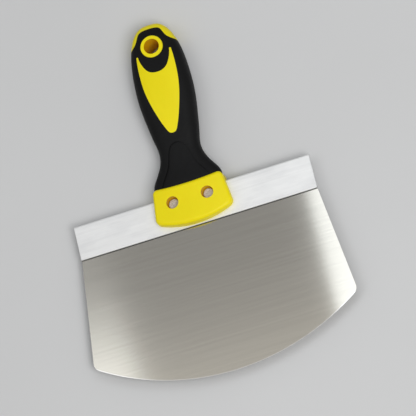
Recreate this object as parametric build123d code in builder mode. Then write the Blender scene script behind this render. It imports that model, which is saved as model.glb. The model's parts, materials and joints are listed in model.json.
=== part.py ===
"""Drywall taping knife: a flared blade in a folded aluminium bar, riveted to a soft-grip handle.

Everything is drawn on the plane "tool", in millimetres: x runs along the bar, y runs from the
bar's lower edge up to the butt of the handle, and z points to the front, from the middle of the
blade's thickness. The tool lies on its back on z = 0, on the collar's back and the palm of the
grip. The origin is at the middle of the bottom of the box round the tool, +Y points to the butt
and +Z points up.
"""

import os
from math import cos, radians, sin

from build123d import *

# Blade
blade_thick = 0.5
edge_half_width = 100.0
corner_y = -81.1
edge_y = -112.0
corner_radius = 6.0
blade_top_y = 24.3

# Folded bar that holds the top of the blade
bar_half_width = 90.5
bar_height = 26.1
bar_wall = 1.3
bar_thick = blade_thick + 2 * bar_wall
fold_radius = 1.4

# Handle: distance from the bar's lower edge, half width, front and back
stations = (
    (31.0, 25.4, 8.9, 8.2),
    (37.0, 24.9, 8.9, 7.9),
    (43.5, 20.9, 8.8, 7.6),
    (50.5, 17.2, 8.9, 7.5),
    (57.0, 15.7, 9.3, 7.6),
    (66.0, 16.5, 10.3, 8.0),
    (76.0, 18.3, 11.3, 8.7),
    (87.0, 19.9, 12.2, 9.3),
    (99.0, 21.2, 12.9, 9.7),
    (112.0, 21.4, 13.2, 9.8),
    (125.0, 20.6, 12.9, 9.6),
)
fullness = 0.74

# Butt: a squarish dome that tapers towards its end
butt_start_y = 137.0
butt_y = 158.4
butt_half_width = 18.8
butt_taper = 0.3
butt_squareness = 3
butt_half_thick = 10.5
butt_middle_z = 1.5
butt_angles = (0, 22, 42, 58, 71, 81, 87)

# Rubber skin over the core
skin = 2.2
dish_depth = 1.0

# Collar that clasps the bar
collar_front = 9.7
collar_back = 9.5
collar_side = 6.8
collar_round = 2.6

# Hanging hole and the ring round it
ring_y = 137.7
ring_radius = 8.4
ring_front = 13.1
ring_back = 9.3
ring_round = 0.5
hang_radius = 5.75

# Rivets
rivet_y = 19.1
rivet_pitch = 26.6
shank_radius = 2.0
head_radius = 4.1
head_thick = 1.3
head_round = 0.5
dimple_radius = 1.4
dimple_depth = 0.4
tail_radius = 3.2
tail_thick = 1.5
washer_radius = 4.5
washer_thick = 0.8
recess_radius = 4.55
back_recess_radius = 4.9
seat_z = 2.6

# The tool's own plane, above the bench that the collar's back rests on
bench_height = collar_back
tool = Plane.XY.move(Location((0, -(butt_y + edge_y) / 2, bench_height)))


def across(y):
    """Plane across the handle at y, whose own x and y are the tool's x and z."""
    return Plane(origin=tool.origin + Vector(0, y, 0), x_dir=(1, 0, 0), z_dir=(0, -1, 0))


def handle_body(inset):
    """Smooth shape of the grip from the collar to the butt, smaller by inset all round."""
    butt = []
    for angle in butt_angles:
        along = sin(radians(angle))
        dome = (1 - along**butt_squareness) ** (1 / butt_squareness)
        butt_station = (
            butt_start_y + (butt_y - butt_start_y) * along,
            butt_half_width * (1 - butt_taper * along) * dome,
            butt_half_thick * cos(radians(angle)) + butt_middle_z,
            butt_half_thick * cos(radians(angle)) - butt_middle_z,
        )
        butt.append(butt_station)
    with BuildPart() as body:
        for y, half_width, front, back in stations + tuple(butt):
            a = half_width - inset
            f = front - inset
            b = back - inset
            middle = (f - b) / 2
            pull = fullness * (f + b) / 2
            if f + b > 0.6:
                with BuildSketch(across(y)):
                    with BuildLine():
                        Bezier((0, f), (fullness * a, f), (a, middle + pull), (a, middle))
                        Bezier((a, middle), (a, middle - pull), (fullness * a, -b), (0, -b))
                        mirror(about=Plane.YZ)
                    make_face()
        loft()
    return body.part


# Blade: straight inside the bar, then flared to a wide bowed edge
with BuildPart() as blade:
    with BuildSketch(tool.offset(-blade_thick / 2)):
        with BuildLine():
            Polyline(
                (-edge_half_width, corner_y),
                (-bar_half_width, 0),
                (-bar_half_width, blade_top_y),
                (bar_half_width, blade_top_y),
                (bar_half_width, 0),
                (edge_half_width, corner_y),
            )
            ThreePointArc(
                (edge_half_width, corner_y), (0, edge_y), (-edge_half_width, corner_y)
            )
        plate = make_face()
        fillet(plate.vertices().sort_by(Axis.Y)[:2], corner_radius)
        with Locations((0, rivet_y)):
            with GridLocations(rivet_pitch, 0, 2, 1):
                Circle(shank_radius, mode=Mode.SUBTRACT)
    extrude(amount=blade_thick)
blade.part.label = "blade"

# Bar: one strip folded over the top of the blade
with BuildPart() as back_bar:
    with BuildSketch(Plane(tool.location * Plane.YZ.offset(-bar_half_width).location)):
        Rectangle(bar_height, bar_thick, align=(Align.MIN, Align.CENTER))
        fillet(vertices().group_by(Axis.X)[-1], fold_radius)
        Rectangle(
            bar_height - bar_wall,
            blade_thick,
            align=(Align.MIN, Align.CENTER),
            mode=Mode.SUBTRACT,
        )
    extrude(amount=2 * bar_half_width)
    with BuildSketch(tool.offset(-bar_thick)):
        with Locations((0, rivet_y)):
            with GridLocations(rivet_pitch, 0, 2, 1):
                Circle(shank_radius)
    extrude(amount=2 * bar_thick, mode=Mode.SUBTRACT)
back_bar.part.label = "back_bar"

# Outline of the collar, seen from the front
with BuildSketch() as collar_plan:
    with BuildLine():
        ThreePointArc((-29.6, 7.4), (0, 0.7), (29.6, 7.4))
        Line((29.6, 7.4), (26.3, 33.2))
        ThreePointArc((26.3, 33.2), (0, 31.1), (-26.3, 33.2))
        Line((-26.3, 33.2), (-29.6, 7.4))
    make_face()
    fillet(vertices().sort_by(Axis.Y)[:2], 5)
    fillet(vertices().sort_by(Axis.Y)[-2:], 3.5)

# Outline of the flame-shaped window in the front of the grip
with BuildSketch() as window_plan:
    with BuildLine():
        Spline((0, 69.6), (4.2, 73.4), tangents=((1, 0), (0.45, 1)))
        Spline(
            (4.2, 73.4),
            (9.6, 88.8),
            (13.2, 105),
            (14.1, 121),
            (13.5, 132.4),
            tangents=((0.45, 1), (-0.12, 1)),
        )
        ThreePointArc((13.5, 132.4), (12.8, 133.4), (12.1, 132.5))
        Spline((12.1, 132.5), (9.7, 124), (0, 117.3), tangents=((-0.1, -1), (-1, 0)))
        mirror(about=Plane.YZ)
    make_face()

# Outline of the rubber's upper end, which leaves the hard butt crown bare
with BuildSketch() as tongue_plan:
    with BuildLine():
        Polyline((0, 20), (30, 20), (30, 139.4))
        Spline(
            (30, 139.4),
            (17.6, 140.2),
            (12.2, 143.8),
            (9.3, 149.6),
            (0, 153.2),
            tangents=((-1, 0), (-1, 0)),
        )
        mirror(about=Plane.YZ)
    make_face()

# Hard core: collar, inner body, window panel, butt crown and hanging ring, moulded in one
with BuildPart() as window_panel:
    add(handle_body(0))
    with BuildSketch(tool.offset(3)):
        add(window_plan.sketch)
    extrude(amount=20, mode=Mode.INTERSECT)

with BuildPart() as butt_crown:
    add(handle_body(0))
    with BuildSketch(tool.offset(-20)):
        add(tongue_plan.sketch)
    extrude(amount=40, mode=Mode.SUBTRACT)

with BuildPart() as hanging_ring:
    with BuildSketch(tool.offset(-ring_back)):
        with Locations((0, ring_y)):
            Circle(ring_radius)
    extrude(amount=ring_back + ring_front)
    fillet(edges().group_by(Axis.Z)[-1], ring_round)

with BuildPart() as handle_core:
    with BuildSketch(tool.offset(-15)):
        add(collar_plan.sketch)
    extrude(amount=30)
    with BuildSketch(across(-5)):
        with BuildLine():
            ThreePointArc((-31, collar_side), (0, collar_front), (31, collar_side))
            Line((31, collar_side), (31, -collar_side))
            ThreePointArc((31, -collar_side), (0, -collar_back), (-31, -collar_side))
            Line((-31, -collar_side), (-31, collar_side))
        make_face()
    extrude(amount=-45, mode=Mode.INTERSECT)
    fillet(edges().filter_by(lambda e: abs(e.center().Z - bench_height) > 3), collar_round)
    add(handle_body(skin))
    add(window_panel.part)
    add(butt_crown.part)
    add(hanging_ring.part)
    with BuildSketch(tool.offset(-20)):
        with Locations((0, ring_y)):
            Circle(hang_radius)
    extrude(amount=40, mode=Mode.SUBTRACT)
    with BuildSketch(tool.offset(-bar_thick / 2)):
        with Locations((0, bar_height)):
            Rectangle(80, 40, align=(Align.CENTER, Align.MAX))
    extrude(amount=bar_thick, mode=Mode.SUBTRACT)
    with BuildSketch(tool.offset(-20)):
        with Locations((0, rivet_y)):
            with GridLocations(rivet_pitch, 0, 2, 1):
                Circle(shank_radius)
    extrude(amount=40, mode=Mode.SUBTRACT)
    with BuildSketch(tool.offset(seat_z)):
        with Locations((0, rivet_y)):
            with GridLocations(rivet_pitch, 0, 2, 1):
                Circle(recess_radius)
    extrude(amount=20, mode=Mode.SUBTRACT)
    with BuildSketch(tool.offset(-seat_z)):
        with Locations((0, rivet_y)):
            with GridLocations(rivet_pitch, 0, 2, 1):
                Circle(back_recess_radius)
    extrude(amount=-20, mode=Mode.SUBTRACT)
handle_core.part.label = "handle_core"

# Rubber grip moulded over the core, with a shallow thumb rest on the front of the neck
with BuildPart() as thumb_rest:
    with BuildSketch(tool.offset(3)):
        with BuildLine():
            Spline(
                (19.6, 30),
                (15.6, 37.3),
                (10.2, 46.5),
                (7.4, 56),
                (0, 62.4),
                tangents=((-0.4, 1), (-1, 0)),
            )
            mirror(about=Plane.YZ)
            Line((-19.6, 30), (19.6, 30))
        make_face()
    extrude(amount=20)
    add(handle_body(dish_depth), mode=Mode.SUBTRACT)

with BuildPart() as grip_overmould:
    add(handle_body(0))
    with BuildSketch(tool.offset(-20)):
        add(collar_plan.sketch)
    extrude(amount=40, mode=Mode.SUBTRACT)
    add(thumb_rest.part, mode=Mode.SUBTRACT)
    add(handle_core.part, mode=Mode.SUBTRACT)
    with BuildSketch(tool.offset(-20)):
        with Locations((0, ring_y)):
            Circle(hang_radius)
    extrude(amount=40, mode=Mode.SUBTRACT)
    split(bisect_by=Plane.XY, keep=Keep.TOP)
grip_overmould.part.label = "grip_overmould"

# Rivets, with their heads in the front recesses and their tails clenched over washers
rivets = []
washers = []
for side, x in (("left", -rivet_pitch / 2), ("right", rivet_pitch / 2)):
    with BuildPart() as rivet:
        with BuildSketch(tool.offset(seat_z)):
            with Locations((x, rivet_y)):
                Circle(head_radius)
        extrude(amount=head_thick)
        fillet(edges().group_by(Axis.Z)[-1], head_round)
        with BuildSketch(tool.offset(seat_z + head_thick)):
            with Locations((x, rivet_y)):
                Circle(dimple_radius)
        extrude(amount=-dimple_depth, mode=Mode.SUBTRACT)
        with BuildSketch(tool.offset(seat_z)):
            with Locations((x, rivet_y)):
                Circle(shank_radius)
        extrude(amount=-2 * seat_z - washer_thick)
        with BuildSketch(tool.offset(-seat_z - washer_thick)):
            with Locations((x, rivet_y)):
                Circle(tail_radius)
        extrude(amount=-tail_thick)
        fillet(edges().group_by(Axis.Z)[0], head_round)
    rivet.part.label = "rivet_" + side
    rivets.append(rivet.part)
    with BuildPart() as washer:
        with BuildSketch(tool.offset(-seat_z)):
            with Locations((x, rivet_y)):
                Circle(washer_radius)
                Circle(shank_radius, mode=Mode.SUBTRACT)
        extrude(amount=-washer_thick)
    washer.part.label = "rivet_washer_" + side
    washers.append(washer.part)

os.makedirs("parts", exist_ok=True)
export_step(blade.part, "parts/blade.step")
export_step(back_bar.part, "parts/back_bar.step")
export_step(handle_core.part, "parts/handle_core.step")
export_step(grip_overmould.part, "parts/grip_overmould.step")
for piece in rivets + washers:
    export_step(piece, "parts/" + piece.label + ".step")
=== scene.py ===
"""Drywall taping knife: materials, floor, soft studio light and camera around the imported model.

Everything is in metres, in the model's own frame: x along the bar, y towards the butt, z up.
"""

import json
import math

import bpy
from mathutils import Matrix, Vector


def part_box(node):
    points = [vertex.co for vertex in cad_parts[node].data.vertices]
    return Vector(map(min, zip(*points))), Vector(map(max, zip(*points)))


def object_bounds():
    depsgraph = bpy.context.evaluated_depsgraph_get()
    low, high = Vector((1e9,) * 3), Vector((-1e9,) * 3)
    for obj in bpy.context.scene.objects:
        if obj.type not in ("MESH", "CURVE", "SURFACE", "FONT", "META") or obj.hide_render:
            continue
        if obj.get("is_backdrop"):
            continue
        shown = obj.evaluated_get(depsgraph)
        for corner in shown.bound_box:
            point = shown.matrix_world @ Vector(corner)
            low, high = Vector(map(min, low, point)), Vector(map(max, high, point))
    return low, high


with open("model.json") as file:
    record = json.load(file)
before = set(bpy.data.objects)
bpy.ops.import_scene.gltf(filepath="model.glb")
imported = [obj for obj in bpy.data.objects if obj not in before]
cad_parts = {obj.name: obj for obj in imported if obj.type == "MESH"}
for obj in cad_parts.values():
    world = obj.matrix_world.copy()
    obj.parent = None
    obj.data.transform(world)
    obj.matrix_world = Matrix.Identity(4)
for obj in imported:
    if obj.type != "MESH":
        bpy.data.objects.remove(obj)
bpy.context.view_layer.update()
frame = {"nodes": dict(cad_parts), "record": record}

# Places read from the model
seam_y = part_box("back_bar")[0].y
edge_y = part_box("blade")[0].y
hang_axis = Vector(frame["record"]["mounts"][0]["pos_m"])
hang_axis.z = 0
rivet_axes = []
for rivet in ("rivet_left", "rivet_right"):
    low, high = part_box(rivet)
    rivet_axes.append(Vector(((low.x + high.x) / 2, (low.y + high.y) / 2, 0)))

# Sizes that the model's boxes don't give
hang_radius = 0.0058
recess_radius = 0.0046
edge_radius = 0.1773
edge_centre = Vector((0, edge_y + edge_radius, 0))

scene = bpy.context.scene
scene.view_settings.view_transform = "Standard"


# ---------------------------------------------------------------- node helpers


def new_material(name):
    material = bpy.data.materials.new(name)
    material.use_nodes = True
    tree = material.node_tree
    return material, tree, tree.nodes["Principled BSDF"]


def object_coords(tree, scale=(1, 1, 1)):
    coord = tree.nodes.new("ShaderNodeTexCoord")
    mapping = tree.nodes.new("ShaderNodeMapping")
    mapping.inputs["Scale"].default_value = scale
    tree.links.new(coord.outputs["Object"], mapping.inputs["Vector"])
    return mapping.outputs["Vector"]


def noise(tree, vector, scale, detail, rough=0.5):
    node = tree.nodes.new("ShaderNodeTexNoise")
    node.inputs["Scale"].default_value = scale
    node.inputs["Detail"].default_value = detail
    node.inputs["Roughness"].default_value = rough
    tree.links.new(vector, node.inputs["Vector"])
    return node.outputs["Fac"]


def tones(tree, fac, dark, light, at_dark=0.3, at_light=0.7):
    """A colour that runs from dark to light as fac goes from at_dark to at_light."""
    node = tree.nodes.new("ShaderNodeValToRGB")
    first, last = node.color_ramp.elements
    first.position = at_dark
    first.color = (*dark, 1)
    last.position = at_light
    last.color = (*light, 1)
    tree.links.new(fac, node.inputs["Fac"])
    return node.outputs["Color"]


def grey_range(tree, fac, low, high, at_low=0.3, at_high=0.7):
    """A number that runs from low to high as fac goes from at_low to at_high."""
    node = tree.nodes.new("ShaderNodeMapRange")
    node.inputs["From Min"].default_value = at_low
    node.inputs["From Max"].default_value = at_high
    node.inputs["To Min"].default_value = low
    node.inputs["To Max"].default_value = high
    tree.links.new(fac, node.inputs["Value"])
    return node.outputs["Result"]


def blend_colour(tree, mask, base, over):
    """base, with over laid on it where mask is 1."""
    mix = tree.nodes.new("ShaderNodeMix")
    mix.data_type = "RGBA"
    tree.links.new(mask, mix.inputs["Factor"])
    tree.links.new(base, mix.inputs["A"])
    tree.links.new(over, mix.inputs["B"])
    return mix.outputs["Result"]


def ring_mask(tree, centre, inside, outside):
    """1 within a radius of an upright axis at centre, falling to 0 just outside it."""
    flat = object_coords(tree, (1, 1, 0))
    away = tree.nodes.new("ShaderNodeVectorMath")
    away.operation = "DISTANCE"
    away.inputs[1].default_value = centre
    tree.links.new(flat, away.inputs[0])
    return grey_range(tree, away.outputs["Value"], 1.0, 0.0, inside, outside)


def bump(tree, shader, height, distance, strength):
    node = tree.nodes.new("ShaderNodeBump")
    node.inputs["Strength"].default_value = strength
    node.inputs["Distance"].default_value = distance
    tree.links.new(height, node.inputs["Height"])
    tree.links.new(node.outputs["Normal"], shader.inputs["Normal"])


def brush_direction(tree, shader):
    """The brush lines run along X, so gloss spreads along Y, across them."""
    across = tree.nodes.new("ShaderNodeCombineXYZ")
    across.inputs["Y"].default_value = 1.0
    tree.links.new(across.outputs["Vector"], shader.inputs["Tangent"])


# ---------------------------------------------------------------- materials


def make_yellow():
    """Semi-gloss moulding, with painted shade: a darker orange inside the hanging hole and the
    rivet recesses.
    """
    material, tree, shader = new_material("yellow_moulding")
    coords = object_coords(tree)
    tone = noise(tree, coords, 35, 3)
    colour = tones(tree, tone, (0.83, 0.695, 0.002), (0.87, 0.735, 0.003))
    # Painted shade: a darker orange colour inside the hanging hole and the rivet recesses stands
    # in for the shade on their walls.
    recess_shade_colour = tones(tree, tone, (0.72, 0.40, 0.001), (0.76, 0.44, 0.001))
    hole_shade_mask = ring_mask(tree, hang_axis, hang_radius - 0.00002, hang_radius + 0.00002)
    colour = blend_colour(tree, hole_shade_mask, colour, recess_shade_colour)
    for axis in rivet_axes:
        recess_shade_mask = ring_mask(tree, axis, recess_radius - 0.00005, recess_radius + 0.00005)
        colour = blend_colour(tree, recess_shade_mask, colour, recess_shade_colour)
    tree.links.new(colour, shader.inputs["Base Color"])
    gloss = grey_range(tree, noise(tree, coords, 260, 4), 0.36, 0.48)
    tree.links.new(gloss, shader.inputs["Roughness"])
    shader.inputs["Specular IOR Level"].default_value = 0.22
    shader.inputs["Subsurface Weight"].default_value = 0.12
    shader.inputs["Subsurface Radius"].default_value = (0.002, 0.0012, 0.0002)
    shader.inputs["Subsurface Scale"].default_value = 1.0
    bump(tree, shader, noise(tree, coords, 900, 3), 0.00004, 0.5)
    return material


def make_rubber():
    """Matt black with a fine moulded grain."""
    material, tree, shader = new_material("black_rubber")
    coords = object_coords(tree)
    tone = noise(tree, coords, 60, 4)
    colour = tones(tree, tone, (0.0038, 0.0038, 0.0040), (0.0056, 0.0055, 0.0058))
    tree.links.new(colour, shader.inputs["Base Color"])
    gloss = grey_range(tree, noise(tree, coords, 420, 4), 0.50, 0.64)
    tree.links.new(gloss, shader.inputs["Roughness"])
    shader.inputs["Specular IOR Level"].default_value = 0.16
    bump(tree, shader, noise(tree, coords, 1800, 4, 0.6), 0.00006, 0.6)
    return material


def make_blade_steel():
    """Brushed steel, with a painted highlight line along the edge and a painted shade line just
    below the bar.
    """
    material, tree, shader = new_material("blade_steel")
    fine = noise(tree, object_coords(tree, (10, 700, 700)), 1.0, 4, 0.6)
    broad = noise(tree, object_coords(tree, (7, 45, 45)), 1.0, 3)
    colour = tones(tree, fine, (0.63, 0.608, 0.553), (0.685, 0.663, 0.603), 0.25, 0.75)
    # Painted highlight: a brighter colour in a thin line along the curved edge stands in for
    # light caught on the bevel.
    edge_highlight_colour = tones(tree, fine, (0.80, 0.79, 0.77), (0.90, 0.89, 0.87))
    # Painted shade: a near-black colour in a thin strip just below the bar stands in for the
    # shade in the crevice between bar and blade.
    seam_shade_colour = tones(tree, broad, (0.03, 0.03, 0.028), (0.07, 0.068, 0.062))
    edge_highlight_inverse = ring_mask(tree, edge_centre, edge_radius - 0.0007, edge_radius - 0.0005)
    edge_highlight_mask = tree.nodes.new("ShaderNodeInvert")
    tree.links.new(edge_highlight_inverse, edge_highlight_mask.inputs["Color"])
    colour = blend_colour(tree, edge_highlight_mask.outputs["Color"], colour, edge_highlight_colour)
    place = tree.nodes.new("ShaderNodeSeparateXYZ")
    tree.links.new(object_coords(tree), place.inputs["Vector"])
    seam_shade_mask = grey_range(tree, place.outputs["Y"], 0.0, 1.0, seam_y - 0.0008, seam_y - 0.0005)
    colour = blend_colour(tree, seam_shade_mask, colour, seam_shade_colour)
    tree.links.new(colour, shader.inputs["Base Color"])
    shader.inputs["Metallic"].default_value = 1.0
    tree.links.new(grey_range(tree, broad, 0.10, 0.112), shader.inputs["Roughness"])
    shader.inputs["Anisotropic"].default_value = 0.85
    brush_direction(tree, shader)
    bump(tree, shader, fine, 0.000002, 0.2)
    return material


def make_bar_aluminium():
    """Satin aluminium with fine drawn lines and faint smears."""
    material, tree, shader = new_material("bar_aluminium")
    fine = noise(tree, object_coords(tree, (6, 600, 600)), 1.0, 4, 0.6)
    smears = noise(tree, object_coords(tree, (22, 75, 75)), 1.0, 4, 0.6)
    dull = tones(tree, fine, (0.76, 0.76, 0.76), (0.84, 0.84, 0.84), 0.25, 0.75)
    bright = tones(tree, fine, (0.84, 0.84, 0.835), (0.92, 0.92, 0.915), 0.25, 0.75)
    colour = blend_colour(tree, grey_range(tree, smears, 0.0, 1.0, 0.4, 0.6), dull, bright)
    tree.links.new(colour, shader.inputs["Base Color"])
    shader.inputs["Metallic"].default_value = 0.4
    tree.links.new(grey_range(tree, smears, 0.55, 0.40), shader.inputs["Roughness"])
    shader.inputs["Anisotropic"].default_value = 0.4
    brush_direction(tree, shader)
    bump(tree, shader, fine, 0.00001, 0.6)
    return material


def make_rivet():
    """Dull plated metal with a pitted face."""
    material, tree, shader = new_material("rivet_metal")
    coords = object_coords(tree)
    tone = noise(tree, coords, 700, 4, 0.6)
    colour = tones(tree, tone, (0.44, 0.40, 0.33), (0.70, 0.67, 0.62))
    tree.links.new(colour, shader.inputs["Base Color"])
    shader.inputs["Metallic"].default_value = 0.35
    gloss = grey_range(tree, noise(tree, coords, 1100, 4), 0.45, 0.6)
    tree.links.new(gloss, shader.inputs["Roughness"])
    bump(tree, shader, tone, 0.00015, 0.8)
    return material


def make_floor_paint():
    material, tree, shader = new_material("floor")
    tone = noise(tree, object_coords(tree), 3, 3)
    colour = tones(tree, tone, (0.60, 0.60, 0.60), (0.63, 0.63, 0.63))
    tree.links.new(colour, shader.inputs["Base Color"])
    shader.inputs["Roughness"].default_value = 0.9
    return material


rivet_metal = make_rivet()
finish = {
    "blade": make_blade_steel(),
    "back_bar": make_bar_aluminium(),
    "handle_core": make_yellow(),
    "grip_overmould": make_rubber(),
    "rivet_left": rivet_metal,
    "rivet_right": rivet_metal,
    "rivet_washer_left": rivet_metal,
    "rivet_washer_right": rivet_metal,
}
for name, material in finish.items():
    mesh = frame["nodes"][name].data
    mesh.materials.clear()
    mesh.materials.append(material)


# ---------------------------------------------------------------- floor and lights

bpy.ops.mesh.primitive_plane_add(size=12, location=(0, 0, -0.0005))
floor = bpy.context.object
floor.name = "floor"
floor.data.materials.append(make_floor_paint())
floor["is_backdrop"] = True


def area_light(name, place, aim, width, depth, power, colour=(1, 1, 1)):
    data = bpy.data.lights.new(name, "AREA")
    data.shape = "RECTANGLE"
    data.size = width
    data.size_y = depth
    data.energy = power
    data.color = colour
    light = bpy.data.objects.new(name, data)
    scene.collection.objects.link(light)
    light.location = place
    light.rotation_mode = "QUATERNION"
    light.rotation_quaternion = (Vector(aim) - Vector(place)).to_track_quat("-Z", "Y")


def ceiling_light(name, place, width, depth, power, colour):
    """A panel that faces straight down."""
    area_light(name, place, (place[0], place[1], 0), width, depth, power, colour)


# The blade mirrors the first three: its bright right end, pale left end and warm lower part
ceiling_light("right_box", (0.21, 0.20, 0.80), 0.50, 0.42, 0.88, (0.90, 0.95, 1))
ceiling_light("left_box", (-1.70, -0.20, 3.0), 1.9, 2.0, 14, (0.95, 0.98, 1))
ceiling_light("top_panel", (-0.35, -0.05, 2.0), 1.0, 1.0, 1.15, (1, 0.95, 0.86))
area_light("key", (0.9, -1.1, 2.0), (0, 0, 0), 1.2, 1.2, 31)

world = bpy.data.worlds.new("studio")
scene.world = world
world.use_nodes = True
world.node_tree.nodes["Background"].inputs["Color"].default_value = (1, 1, 1, 1)
world.node_tree.nodes["Background"].inputs["Strength"].default_value = 0.33


# ---------------------------------------------------------------- camera

azimuth = math.radians(29.96)
elevation = math.radians(69.16)
roll = math.radians(45.66)
distance = 2.2223
aim = Vector((0.00941, -0.01319, 0.00950))
back = Vector(
    (
        math.sin(azimuth) * math.cos(elevation),
        -math.cos(azimuth) * math.cos(elevation),
        math.sin(elevation),
    )
)
level_right = Vector((0, 0, 1)).cross(back).normalized()
level_up = back.cross(level_right)
up = math.cos(roll) * level_up + math.sin(roll) * level_right
right = up.cross(back)
camera_data = bpy.data.cameras.new("camera")
camera_data.lens = 266.15
camera_data.sensor_width = 36
camera = bpy.data.objects.new("camera", camera_data)
scene.collection.objects.link(camera)
turn = Matrix((right, up, back)).transposed().to_4x4()
camera.matrix_world = Matrix.Translation(aim + distance * back) @ turn
scene.camera = camera

low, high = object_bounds()
